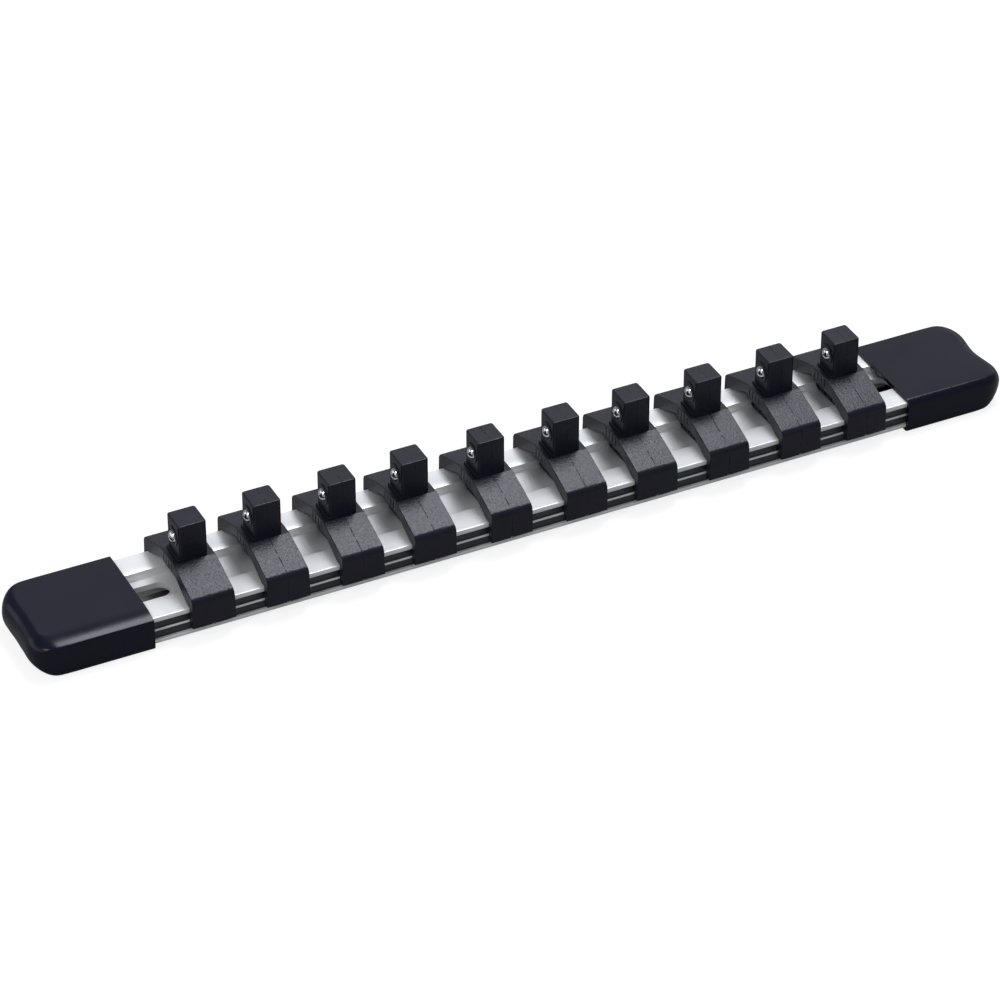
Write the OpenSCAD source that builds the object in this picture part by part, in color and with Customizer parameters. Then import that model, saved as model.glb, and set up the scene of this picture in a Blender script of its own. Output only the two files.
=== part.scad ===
// A socket holder rail. Ten moulded clips hook over the edges of an extruded aluminium rail and
// slide along it. Each clip carries a square post with a sprung detent ball in its left face.
// A dipped vinyl cap closes each end of the rail.
// X runs along the rail, Y across it and Z up. The origin is midway along the rail, on the
// surface that the caps' undersides rest on.

/* [Rail] */
// Length of the extrusion, end to end
rail_len = 332; // [276:1:420]
// Width across the two side faces
rail_w = 33.6; // [28:0.1:42]
// Height of the extrusion
rail_h = 9.7; // [8:0.1:14]
// Thickness of the two top strips
strip_t = 1.8; // [1.2:0.1:2.2]
// Width of the channel between the strips
channel_w = 14.8; // [12:0.1:18]
// Depth of the channel below the strips
channel_d = 2.9; // [2:0.1:3.6]
// Thickness of the channel's floor
floor_t = 2.0; // [1.2:0.1:2.6]
// Thickness of the two walls beside the channel
channel_wall_t = 1.6; // [1:0.1:2.2]
// Depth of the groove in each side
groove_d = 1.4; // [1:0.1:2]
// Thickness of the wall behind each side groove
groove_wall_t = 1.5; // [1:0.1:2]
// Thickness of the bottom flange on each side
flange_t = 1.3; // [1:0.1:2]
// Depth of the fine rib in the side groove, from the rail's top to the rib's top
rib_drop = 4.9; // [4.7:0.1:5.3]
// Thickness of the rib
rib_t = 0.8; // [0.6:0.1:1]
// How far the rib stands out of the groove's wall
rib_out = 0.7; // [0.4:0.1:0.9]
// Radius of the outer edges of the extrusion
rail_edge_r = 0.4; // [0.2:0.1:0.6]

/* [Mounting slots] */
// Width of each slot in the channel's floor
slot_w = 7.6; // [5:0.1:9]
// Length of each slot, end to end
slot_len = 17.8; // [14:0.1:24]
// Distance from a cap's rim in to the middle of the slot
slot_inset = 4.55; // [3.9:0.05:5.4]

/* [Clips] */
// Width of a clip along the rail, at its feet
clip_w = 14.6; // [12:0.1:18]
// Draft on each side, from the foot up to the crown
side_draft = 0.3; // [0:0.05:0.6]
// Height of the crown above the rail
crown_rise = 8.7; // [7.2:0.1:11]
// Length of the flat crown, across the rail
crown_l = 10; // [8:0.1:12]
// Height above the rail where the slope would meet the outer face
shoulder_rise = 3.9; // [3.2:0.1:5]
// Radius of the rounded shoulder
shoulder_r = 2.2; // [1.5:0.1:2.8]
// Thickness of the sloping bridge, measured upright
bridge_t = 3.5; // [2.8:0.1:4.2]
// Thickness of the two legs
leg_t = 2.45; // [1.8:0.05:3.2]
// How far the legs reach below the rail's top
leg_drop = 6.25; // [5.4:0.05:7.4]
// Radius of the lower corners of each leg
foot_r = 0.9; // [0.5:0.1:1.4]
// How far the hook reaches in past the leg
hook_in = 1.1; // [0.8:0.1:1.3]
// Height of the hook where it leaves the leg
hook_h = 2.2; // [1.8:0.1:2.4]
// Clearance between a clip and the rail's edges and top
clip_fit = 0.2; // [0.15:0.05:0.3]
// Width of the small notch at the middle of each foot
notch_w = 1.2; // [0.8:0.1:2]
// Height of that notch
notch_h = 0.5; // [0.3:0.1:0.8]

/* [Guide under each clip] */
// Width of the guide that runs in the channel, along the rail
guide_w = 8.2; // [6:0.1:10]
// Width of the ribbed collar above the guide, along the rail
collar_w = 12; // [10.5:0.1:12.8]
// Depth of the collar, across the rail
collar_l = 12.6; // [11:0.1:13.6]
// Height of the collar's underside above the rail
collar_rise = 2.4; // [1.6:0.1:3]
// Clearance between the guide and the channel
guide_fit = 0.3; // [0.2:0.05:0.5]
// Width of each upright rib on the guide
guide_rib_w = 1; // [0.6:0.1:1.4]
// How far the guide's ribs stand out
guide_rib_out = 0.9; // [0.5:0.1:1.1]

/* [Posts] */
// Width of the square post across its flats
post_w = 9.4; // [7.8:0.1:11.3]
// Height of the post above its pad
post_h = 12.05; // [10:0.05:15]
// Radius of the post's upright edges
post_r = 1.2; // [0.8:0.1:1.6]
// Radius of the edges round the post's top
post_top_r = 0.6; // [0.3:0.1:1]
// Height of the pad under the post, above the crown
pad_rise = 0.8; // [0.4:0.1:1.2]
// Width of the pad's step round the post
pad_step = 0.5; // [0.3:0.1:0.9]

/* [Detents] */
// Diameter of the steel ball
ball_d = 4.76; // [3.9:0.01:5.72]
// Depth of the ball's centre below the post's top
ball_drop = 6; // [5:0.1:7]
// How much smaller the radius of the bore's lip is than the ball's
lip_grip = 0.18; // [0.12:0.01:0.25]
// Thickness of the lip that holds the ball in
lip_t = 0.3; // [0.2:0.05:0.5]
// Height of the raised ring round the bore, above the post's face
ring_rise = 0.3; // [0.2:0.05:0.5]
// Width of the raised ring round the bore
ring_wall = 1.1; // [0.7:0.1:1.3]
// Clearance round the ball in its bore
ball_fit = 0.06; // [0.03:0.01:0.1]
// Wall left behind the bore
bore_back_t = 1.4; // [1:0.1:1.8]
// Diameter of the spring's wire
spring_wire = 0.45; // [0.35:0.01:0.5]
// Outer diameter of the spring
spring_od = 3.8; // [3.2:0.05:3.8]
// Rise of the spring in one turn
spring_pitch = 1.08; // [0.95:0.01:1.3]

/* [End caps] */
// Length of a cap outside
cap_len = 37.9; // [31:0.1:43]
// Wall thickness of a cap
cap_t = 1.35; // [1:0.05:2]
// Thickness of a cap's closed end, at its two lobes
cap_end_t = 4.7; // [3.8:0.1:5.6]
// Depth of the hollow in the end, between the lobes
cap_dish = 1.6; // [0.4:0.1:2]
// Radius of a cap's long edges
cap_edge_r = 2.5; // [1.5:0.1:3]
// Radius of the corners at a cap's end, seen from above
cap_corner_r = 9; // [6:0.1:11]
// Radius of the upper and lower edges of a cap's end, seen from the front
cap_end_r = 5.6; // [3:0.1:6]
// Clearance between a cap and the rail
cap_fit = 0.05; // [0.03:0.01:0.1]

/* [Clip places] */
// Gap between the left cap's rim and the first clip
gap_left = 12.8; // [9.5:0.1:16]
// Gap between the last clip and the right cap's rim
gap_right = 8.75; // [8.5:0.05:12]

/* [Hidden] */
$fn = 48;
// Overlap of a cut past the face that it opens
past = 1;
// Least half height of the flat left between two rounded edges
min_flat = 0.2;
// How far a cap's outline from above runs past its end, which the outline from the front sets,
// so that the two never meet in one face
tip_past = 0.02;
// Facets of the wide arc that hollows a cap's end
dish_facets = 180;

// Heights
rail_z0 = cap_t + cap_fit;
rail_z1 = rail_z0 + rail_h;
channel_z = rail_z1 - channel_d;
crown_z = rail_z1 + crown_rise;
pad_z = crown_z + pad_rise;
post_z = pad_z + post_h;

// Along the rail
end_x = rail_len / 2 + cap_fit + cap_end_t;
rim_x = end_x - cap_len;
slot_x = rim_x - slot_inset;
clip_count = 10;
first_x = -rim_x + gap_left + clip_w / 2;
last_x = rim_x - gap_right - clip_w / 2;
clip_pitch = (last_x - first_x) / (clip_count - 1);
// The clips slide, so each stands a little off its even place
nudge = [0, -0.65, -0.75, -1.5, -0.5, 0.4, 0, 0.45, 1.25, 0];
function clip_x(i) = first_x + i * clip_pitch + nudge[i];

// Across the rail
leg_in_y = rail_w / 2 + clip_fit;
leg_out_y = leg_in_y + leg_t;
groove_y = rail_w / 2 - groove_d;
crown_y = crown_l / 2;
slope_a = atan((crown_rise - shoulder_rise) / (leg_out_y - crown_y));
shoulder_y = leg_out_y - shoulder_r;
shoulder_z = slope_z(shoulder_y) - shoulder_r / cos(slope_a);
// Height of the slope's plane at a distance y from the middle
function slope_z(y) = crown_z - (y - crown_y) * tan(slope_a);
// Width of the flat where the bridge rests on the rail
land_w = 1.4;

// Detent, measured from the clip's middle; the ball is in the left face
ball_r = ball_d / 2;
bore_r = ball_r + ball_fit;
lip_r = ball_r - lip_grip;
ring_x = -post_w / 2 - ring_rise;
lip_x = ring_x + lip_t;
ball_seat = 0.03;
ball_x = lip_x + sqrt(ball_r * ball_r - lip_r * lip_r) + ball_seat;
ball_z = post_z - ball_drop;
bore_end_x = post_w / 2 - bore_back_t;
coil_r = (spring_od - spring_wire) / 2;
coil_touch = ball_r + spring_wire / 2 + ball_seat;
coil_x0 = ball_x + sqrt(coil_touch * coil_touch - coil_r * coil_r);
coil_x1 = bore_end_x - spring_wire / 2 - ball_seat;
coil_turns = (coil_x1 - coil_x0) / spring_pitch;
coil_sides = 6;
coil_steps = 8;

// Least gap between neighbouring turns of the spring
coil_rise_a = atan(spring_pitch / (2 * PI * coil_r));
coil_gap = spring_pitch * cos(coil_rise_a) - spring_wire;
echo(str("least gap between the spring's turns: ", coil_gap, " mm"));

// A rectangle with its corner at (x0, y0), both ways from there
module plate(x0, y0, w, h) {
    translate([x0, y0]) square([w, h]);
}

// A rectangle centred on the origin with round corners
module round_rect(w, h, r) {
    square([w - 2 * r, h], center = true);
    square([w, h - 2 * r], center = true);
    for (sx = [-1, 1], sy = [-1, 1])
        translate([sx * (w / 2 - r), sy * (h / 2 - r)]) circle(r);
}

// Turns a section drawn in Y and Z into a bar of length len along X, centred
module bar_x(len) {
    rotate([90, 0, 90]) linear_extrude(len, center = true) children();
}

// Turns an outline drawn in X and Z into a bar of length len along Y, centred
module bar_y(len) {
    rotate([90, 0, 0]) linear_extrude(len, center = true) children();
}

// ---- Rail ----

// One half of the rail's section, for y > 0
module rail_half_section() {
    half_w = rail_w / 2;
    half_channel = channel_w / 2;
    strip_w = half_w - half_channel;
    // top strip, with its outer edge rounded
    plate(half_channel, rail_z1 - strip_t, strip_w - rail_edge_r, strip_t);
    plate(half_channel, rail_z1 - strip_t, strip_w, strip_t - rail_edge_r);
    translate([half_w - rail_edge_r, rail_z1 - rail_edge_r]) circle(rail_edge_r);
    // wall beside the channel, down to the underside
    plate(half_channel, rail_z0, channel_wall_t, rail_h);
    // channel floor
    plate(-past, channel_z - floor_t, half_channel + channel_wall_t + past, floor_t);
    // wall behind the side groove, with its fine rib
    plate(groove_y - groove_wall_t, rail_z0, groove_wall_t, rail_h - strip_t / 2);
    plate(groove_y - groove_wall_t / 2, rail_z1 - rib_drop - rib_t, groove_wall_t / 2 + rib_out, rib_t);
    // bottom flange
    plate(groove_y - groove_wall_t, rail_z0, groove_wall_t + groove_d, flange_t);
}

module rail_section() {
    rail_half_section();
    mirror([1, 0]) rail_half_section();
}

// A slot along X with round ends, cut through the channel's floor
module slot_cut() {
    straight = slot_len - slot_w;
    depth = floor_t + 2 * past;
    translate([0, 0, channel_z - floor_t - past]) {
        for (sx = [-1, 1])
            translate([sx * straight / 2, 0, 0]) cylinder(h = depth, d = slot_w);
        translate([-straight / 2, -slot_w / 2, 0]) cube([straight, slot_w, depth]);
    }
}

module rail() {
    color("gainsboro")
        difference() {
            bar_x(rail_len) rail_section();
            for (sx = [-1, 1])
                translate([sx * slot_x, 0, 0]) slot_cut();
        }
}

// ---- End caps ----

// Outline of the right cap from above: round corners, and a shallow hollow in the end
module cap_plan() {
    half_w = rail_w / 2 + cap_fit + cap_t;
    lobe_y = half_w - cap_corner_r;
    tip_x = end_x + tip_past;
    dish_r = (lobe_y * lobe_y + cap_dish * cap_dish) / (2 * cap_dish);
    difference() {
        union() {
            plate(rim_x, -half_w, tip_x - cap_corner_r - rim_x, 2 * half_w);
            plate(rim_x, -lobe_y, tip_x - rim_x, 2 * lobe_y);
            for (sy = [-1, 1])
                translate([tip_x - cap_corner_r, sy * lobe_y]) circle(cap_corner_r);
        }
        translate([end_x - cap_dish + dish_r, 0]) circle(dish_r, $fn = dish_facets);
    }
}

module cap_right_shape() {
    cap_w = rail_w + 2 * (cap_fit + cap_t);
    cap_h = rail_h + 2 * (cap_fit + cap_t);
    hollow_w = rail_w + 2 * cap_fit;
    hollow_h = rail_h + 2 * cap_fit;
    hollow_end = end_x - cap_end_t;
    end_r = min(cap_end_r, cap_h / 2 - min_flat);
    difference() {
        intersection() {
            linear_extrude(cap_h) cap_plan();
            translate([0, 0, cap_h / 2])
                bar_x(2 * end_x) round_rect(cap_w, cap_h, cap_edge_r);
            translate([rim_x + (cap_len - end_r) / 2, 0, cap_h / 2])
                bar_y(cap_w + 2 * past) round_rect(cap_len + end_r, cap_h, end_r);
        }
        translate([rim_x - past, -hollow_w / 2, cap_t])
            cube([hollow_end - rim_x + past, hollow_w, hollow_h]);
    }
}

module cap_right() {
    color("black") cap_right_shape();
}

module cap_left() {
    color("black") mirror([1, 0, 0]) cap_right_shape();
}

// ---- Clips ----

// One half of the bridge's section, for y > 0: crown, slope, rounded shoulder and hooked leg
module bridge_half() {
    foot_z = rail_z1 - leg_drop;
    land_z = rail_z1 + clip_fit;
    hook_z = rail_z1 - strip_t - clip_fit;
    polygon([
        [-past, crown_z],
        [crown_y, crown_z],
        [shoulder_y + shoulder_r * sin(slope_a), shoulder_z + shoulder_r * cos(slope_a)],
        [shoulder_y, shoulder_z],
        [leg_out_y, shoulder_z],
        [leg_out_y, foot_z],
        [leg_in_y, foot_z],
        [leg_in_y, hook_z - hook_h],
        [leg_in_y - hook_in, hook_z - hook_h / 2],
        [leg_in_y - hook_in, hook_z],
        [leg_in_y, hook_z],
        [leg_in_y, land_z],
        [leg_in_y - land_w, land_z],
        [crown_y, crown_z - bridge_t],
        [-past, crown_z - bridge_t]
    ]);
    translate([shoulder_y, shoulder_z]) circle(shoulder_r);
}

// Outline of a clip from the front: drafted sides and round lower corners
module clip_front() {
    foot_z = rail_z1 - leg_drop;
    half_foot = clip_w / 2;
    half_crown = half_foot - side_draft;
    polygon([
        [-half_foot + foot_r, foot_z],
        [half_foot - foot_r, foot_z],
        [half_foot, foot_z + foot_r],
        [half_crown, crown_z + past],
        [-half_crown, crown_z + past],
        [-half_foot, foot_z + foot_r]
    ]);
    for (sx = [-1, 1])
        translate([sx * (half_foot - foot_r), foot_z + foot_r]) circle(foot_r);
}

// Small notches at the middle of the two feet
module foot_notches() {
    foot_z = rail_z1 - leg_drop;
    for (sy = [-1, 1])
        translate([-notch_w / 2, sy * (leg_out_y - leg_t / 2) - leg_t, foot_z - past])
            cube([notch_w, 2 * leg_t, notch_h + past]);
}

// The ribbed guide that runs in the rail's channel, under a wider collar
module guide() {
    guide_l = channel_w - 2 * guide_fit;
    guide_z = channel_z + guide_fit;
    collar_z = rail_z1 + collar_rise;
    top_z = crown_z - bridge_t / 2;
    ribs = 4;
    rib_pitch = (guide_l - guide_rib_w) / (ribs - 1);
    translate([-guide_w / 2, -guide_l / 2, guide_z])
        cube([guide_w, guide_l, crown_z - bridge_t - guide_z]);
    translate([-collar_w / 2, -collar_l / 2, collar_z])
        cube([collar_w, collar_l, top_z - collar_z]);
    for (k = [0 : ribs - 1])
        translate([-guide_w / 2 - guide_rib_out, -guide_l / 2 + k * rib_pitch, guide_z + guide_rib_out])
            cube([guide_w + 2 * guide_rib_out, guide_rib_w, crown_z - bridge_t - guide_z - guide_rib_out]);
}

// The square post with rounded edges, on its low pad
module post() {
    pad_w = post_w + 2 * pad_step;
    root_z = crown_z - bridge_t / 2;
    translate([0, 0, root_z]) linear_extrude(pad_z - root_z) round_rect(pad_w, pad_w, post_r);
    intersection() {
        translate([0, 0, root_z]) linear_extrude(post_z - root_z) round_rect(post_w, post_w, post_r);
        translate([0, 0, (root_z - post_top_r + post_z) / 2])
            bar_x(post_w) round_rect(post_w, post_z - root_z + post_top_r, post_top_r);
        translate([0, 0, (root_z - post_top_r + post_z) / 2])
            bar_y(post_w) round_rect(post_w, post_z - root_z + post_top_r, post_top_r);
    }
    // raised ring round the ball's bore
    translate([0, 0, ball_z]) rotate([0, -90, 0]) cylinder(h = -ring_x, r = ball_r + ring_wall);
}

// Blind bore for the ball and its spring, with a narrow lip at its mouth
module detent_bore() {
    translate([0, 0, ball_z]) rotate([0, 90, 0]) {
        translate([0, 0, ring_x - past]) cylinder(h = bore_end_x - ring_x, r = lip_r);
        translate([0, 0, lip_x]) cylinder(h = bore_end_x - lip_x, r = bore_r);
    }
}

module clip(i) {
    color("dimgray") translate([clip_x(i), 0, 0])
        difference() {
            union() {
                intersection() {
                    bar_x(clip_w + past) {
                        bridge_half();
                        mirror([1, 0]) bridge_half();
                    }
                    bar_y(2 * leg_out_y + past) clip_front();
                }
                guide();
                post();
            }
            foot_notches();
            detent_bore();
        }
}

// ---- Detents ----

module ball(i) {
    color("silver") translate([clip_x(i) + ball_x, 0, ball_z]) sphere(ball_r);
}

// Points of one ring of the spring's wire, at step k along its helix
function coil_ring(k) =
    let (a = k * 360 / coil_steps, x = coil_x0 + spring_pitch * k / coil_steps)
    [
        for (s = [0 : coil_sides - 1])
            let (
                b = s * 360 / coil_sides,
                r = coil_r + spring_wire / 2 * cos(b)
            )
            [x + spring_wire / 2 * sin(b), r * cos(a), r * sin(a)]
    ];

module spring(i) {
    rings = floor(coil_turns * coil_steps);
    last = rings * coil_sides;
    points = [for (k = [0 : rings]) each coil_ring(k)];
    sides = [
        for (k = [0 : rings - 1], s = [0 : coil_sides - 1])
            let (
                a = k * coil_sides + s,
                b = k * coil_sides + (s + 1) % coil_sides
            )
            each [[a, b, b + coil_sides], [a, b + coil_sides, a + coil_sides]]
    ];
    start = [for (s = [1 : coil_sides - 2]) [0, s + 1, s]];
    end = [for (s = [1 : coil_sides - 2]) [last, last + s, last + s + 1]];
    color("lightgray") translate([clip_x(i), 0, ball_z])
        polyhedron(points, concat(sides, start, end));
}

rail();
cap_left();
cap_right();
clip(0);  // clip_01
clip(1);  // clip_02
clip(2);  // clip_03
clip(3);  // clip_04
clip(4);  // clip_05
clip(5);  // clip_06
clip(6);  // clip_07
clip(7);  // clip_08
clip(8);  // clip_09
clip(9);  // clip_10
ball(0);  // ball_01
ball(1);  // ball_02
ball(2);  // ball_03
ball(3);  // ball_04
ball(4);  // ball_05
ball(5);  // ball_06
ball(6);  // ball_07
ball(7);  // ball_08
ball(8);  // ball_09
ball(9);  // ball_10
spring(0);  // spring_01
spring(1);  // spring_02
spring(2);  // spring_03
spring(3);  // spring_04
spring(4);  // spring_05
spring(5);  // spring_06
spring(6);  // spring_07
spring(7);  // spring_08
spring(8);  // spring_09
spring(9);  // spring_10
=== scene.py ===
# %% [markdown]
# # A socket holder rail
# The object is an aluminium rail with ten black moulded clips that slide along it.
# Each clip carries a square post, and a sprung steel ball in the post holds a drive socket.
# A black vinyl cap closes each end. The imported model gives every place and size, so each
# piece below is drawn in millimetres where the model says, and then turned into metres.

import math

import bmesh
import bpy
from mathutils import Matrix, Vector


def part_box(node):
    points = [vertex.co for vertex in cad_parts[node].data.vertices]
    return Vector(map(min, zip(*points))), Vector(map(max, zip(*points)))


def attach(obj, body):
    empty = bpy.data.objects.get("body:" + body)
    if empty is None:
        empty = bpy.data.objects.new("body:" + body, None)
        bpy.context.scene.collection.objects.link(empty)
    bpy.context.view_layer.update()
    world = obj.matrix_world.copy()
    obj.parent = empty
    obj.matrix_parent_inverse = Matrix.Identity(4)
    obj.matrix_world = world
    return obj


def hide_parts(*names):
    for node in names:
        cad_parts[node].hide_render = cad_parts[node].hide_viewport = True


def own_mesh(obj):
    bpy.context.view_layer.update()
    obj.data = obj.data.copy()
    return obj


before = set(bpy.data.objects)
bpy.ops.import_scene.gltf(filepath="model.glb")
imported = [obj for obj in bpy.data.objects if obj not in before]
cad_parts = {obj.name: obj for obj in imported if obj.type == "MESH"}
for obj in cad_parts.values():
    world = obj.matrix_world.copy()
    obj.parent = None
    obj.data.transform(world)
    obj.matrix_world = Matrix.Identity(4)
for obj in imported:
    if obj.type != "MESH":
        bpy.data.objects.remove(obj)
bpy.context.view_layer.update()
MM = 0.001
CLIPS = [f"{i:02d}" for i in range(1, 11)]


def box_mm(node):
    """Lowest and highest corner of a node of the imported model, in millimetres."""
    low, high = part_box(node)
    return low / MM, high / MM


rail_low, rail_high = box_mm("rail")
print("rail", [round(v, 2) for v in rail_low], [round(v, 2) for v in rail_high])

# %% [markdown]
# ## Camera
# The photograph was taken from above and from the left with a long lens, so the rail's
# edges stay almost parallel. A camera can be placed by eye or worked out from the straight
# edges. Here it is worked out: the place, the three turns and the lens were fitted so that
# the rail's edges and the posts' corners fall where the photograph has them.

# %% Camera
camera_data = bpy.data.cameras.new("camera")
camera = bpy.data.objects.new("camera", camera_data)
bpy.context.scene.collection.objects.link(camera)
bpy.context.scene.camera = camera
camera_data.sensor_width = 36
camera_data.lens = 158.4
camera_data.clip_end = 20
turn, tilt, roll = math.radians(26.147), math.radians(35.288), math.radians(-0.054)
aim = (Matrix.Rotation(-turn, 4, "Z") @ Matrix.Rotation(math.pi / 2 - tilt, 4, "X")
       @ Matrix.Rotation(roll, 4, "Z"))
stand = Vector((-508.75, -1023.99, 812.67)) * MM
camera.matrix_world = Matrix.Translation(stand) @ aim
print("camera at", [round(v, 3) for v in camera.location])

# %% [markdown]
# ## Small helpers
# Colours are written as the sRGB values that a screen shows, and one function turns them
# into the linear values that Blender's shaders work in. A second function adds a node to a
# material. Meshes are joined and cut by one function that puts booleans on an object and
# reads the result back. The last one ends every piece: it gives it its material, hangs it
# under an empty named for the body that carries it, and hides the nodes it stands for.

# %% Colour and node helpers
def colour(text):
    """Linear RGBA of an sRGB colour written as six hex digits."""
    parts = [int(text[i:i + 2], 16) / 255 for i in (0, 2, 4)]
    return [c / 12.92 if c <= 0.04045 else ((c + 0.055) / 1.055) ** 2.4 for c in parts] + [1]


def add(tree, kind, values=None, links=None, **settings):
    """Adds a node, sets it up, and wires its inputs, by name or number, to other nodes."""
    node = tree.nodes.new(kind)
    for name, value in settings.items():
        setattr(node, name, value)
    for name, value in (values or {}).items():
        node.inputs[name].default_value = value
    for name, source in (links or {}).items():
        tree.links.new(source, node.inputs[name])
    return node


def start_material(name, **values):
    """A new material with one Principled shader, set to plain values."""
    material = bpy.data.materials.new(name)
    material.use_nodes = True
    tree = material.node_tree
    shader = tree.nodes["Principled BSDF"]
    for key, value in values.items():
        shader.inputs[key].default_value = value
    return material, tree, shader


print("a screen's mid grey, 808080, is", round(colour("808080")[0], 3), "in linear light")

# %% Mesh helpers
def as_object(bm, name):
    """Turns a bmesh into an object of the scene, and frees the bmesh."""
    mesh = bpy.data.meshes.new(name)
    bm.to_mesh(mesh)
    bm.free()
    thing = bpy.data.objects.new(name, mesh)
    bpy.context.scene.collection.objects.link(thing)
    return thing


def box_between(low, high):
    """A bmesh box between two corners, in millimetres."""
    bm = bmesh.new()
    bmesh.ops.create_cube(bm, size=1)
    low, high = Vector(low), Vector(high)
    bmesh.ops.scale(bm, vec=high - low, verts=bm.verts)
    bmesh.ops.translate(bm, vec=(low + high) / 2, verts=bm.verts)
    return bm


def is_vert(element):
    """Whether what an operator returned is a vertex."""
    return isinstance(element, bmesh.types.BMVert)


def run_of(edge, axis):
    """How far an edge runs along an axis, where 0 is X, 1 is Y and 2 is Z."""
    return abs(edge.verts[0].co[axis] - edge.verts[1].co[axis])


def round_edges(bm, edges, radius, segments):
    """Rounds edges with a bevel."""
    bmesh.ops.bevel(bm, geom=edges, offset=radius, segments=segments, profile=0.5,
                    affect="EDGES", material=-1)


# %% Joining and cutting
def combine(base, tools):
    """Applies tools to a bmesh: a list of (bmesh, "UNION", "DIFFERENCE" or "INTERSECT")."""
    body = as_object(base, "body")
    cutters = []
    for shape, how in tools:
        cutter = as_object(shape, "tool")
        cutters.append(cutter)
        step = body.modifiers.new(how, "BOOLEAN")
        step.operation, step.solver, step.object = how, "MANIFOLD", cutter
    bpy.context.view_layer.update()
    solved = body.evaluated_get(bpy.context.evaluated_depsgraph_get()).to_mesh()
    result = bmesh.new()
    result.from_mesh(solved)
    for thing in [body] + cutters:
        mesh = thing.data
        bpy.data.objects.remove(thing)
        bpy.data.meshes.remove(mesh)
    return result


# %% Ending a piece
def mark_sharp(bm, degrees):
    """Smooth faces everywhere, with the edges that turn by more than this kept sharp."""
    for face in bm.faces:
        face.smooth = True
    for edge in bm.edges:
        if edge.is_manifold and edge.calc_face_angle(0) > math.radians(degrees):
            edge.smooth = False


def to_metres(bm, sharp=32):
    """Merges doubles, turns the faces outwards, marks sharp edges, and scales to metres."""
    bmesh.ops.remove_doubles(bm, verts=bm.verts, dist=0.0008)
    # A vertex in the middle of a straight edge would leave a sliver when the faces are cut into
    # triangles.
    between = [v for v in bm.verts if len(v.link_edges) == 2]
    bmesh.ops.dissolve_limit(bm, angle_limit=math.radians(0.5), verts=between, edges=[])
    bmesh.ops.recalc_face_normals(bm, faces=bm.faces)
    mark_sharp(bm, sharp)
    bmesh.ops.scale(bm, vec=(MM, MM, MM), verts=bm.verts)
    return bm


def finish_piece(thing, material, body, slot, *nodes):
    """Gives a piece its material and its body, and hides the nodes that it stands for. slot is not
    used.
    """
    thing.data.materials.clear()
    thing.data.materials.append(material)
    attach(thing, body)
    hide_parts(*nodes)
    return thing


# %% [markdown]
# ## Studio
# The photograph has a white ground and soft light: one wide light above, which the clips'
# slopes mirror, a pale wall behind, which the flat tops mirror, a wall at the left, and a
# small light at the left, which leaves a spot on the left cap's corner. Each light could be
# a sphere of any strength, but flat soft boxes give the bands that such gloss needs. Their
# power is worked out from a brightness, so a box can change size freely. A last box in
# front only fills: it lights the rail's metal edges, and no gloss mirrors it, so the black
# fronts stay dark. The world and the light above are slightly cold, as the metal shows.

# %% Lights
def soft_box(name, direction, distance, width, height, brightness, tint="FFFFFF"):
    """A flat light of that brightness, where 1 is white, that faces the rail's middle."""
    data = bpy.data.lights.new(name, "AREA")
    data.shape, data.size, data.size_y = "RECTANGLE", width, height
    data.energy = brightness * math.pi * width * height
    data.color = colour(tint)[:3]
    light = bpy.data.objects.new(name, data)
    bpy.context.scene.collection.objects.link(light)
    way = Vector(direction).normalized()
    facing = way.to_track_quat("Z", "Y").to_matrix().to_4x4()
    light.matrix_world = Matrix.Translation(way * distance) @ facing
    return light


world = bpy.data.worlds.new("studio")
bpy.context.scene.world = world
world.use_nodes = True
air = world.node_tree.nodes["Background"]
air.inputs["Color"].default_value = colour("F4F7FF")
air.inputs["Strength"].default_value = 0.25
# After the name: direction from the rail's middle, distance, width and height in metres,
# and brightness.
soft_box("overhead", (0.29, 0.19, 0.94), 1.3, 0.5, 0.6, 14, "F5F7FF")
soft_box("back wall", (0.55, 0.7, 0.52), 1.6, 1.9, 1.3, 0.48)
soft_box("left wall", (-0.93, 0.15, 0.26), 1.4, 2.2, 0.6, 1.0)
soft_box("left", (-0.7, -0.23, 0.65), 1.2, 0.3, 0.3, 12)
fill = soft_box("front fill", (-0.1, -0.75, 0.65), 1.4, 1.0, 0.6, 2.2)
fill.visible_glossy = False
print("lights", len(bpy.data.lights))

# %% [markdown]
# ## Floor
# White paper could be lit until it is white, but that light would wash out the object.
# Instead the paper is a plain grey that glows only for the camera, and a little for gloss,
# and its grey part still shows the object's shadow. Below the rail it doesn't glow, so
# that the slots look down into shade, as the photograph's do. Each row of the table gives
# an axis, where the glow starts on it and where it is full.

# %% Floor
floor_mesh = bmesh.new()
bmesh.ops.create_grid(floor_mesh, x_segments=1, y_segments=1, size=6)
floor = as_object(floor_mesh, "floor")
paper, tree, shader = start_material("white paper", Roughness=0.9)
shader.inputs["Base Color"].default_value = colour("808080")
shader.inputs["Specular IOR Level"].default_value = 0.0
shader.inputs["Emission Color"].default_value = colour("FFFFFF")
floor.data.materials.append(paper)
bpy.context.scene.view_settings.view_transform = "Standard"
print("floor", floor.dimensions.x, "m wide")

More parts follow.
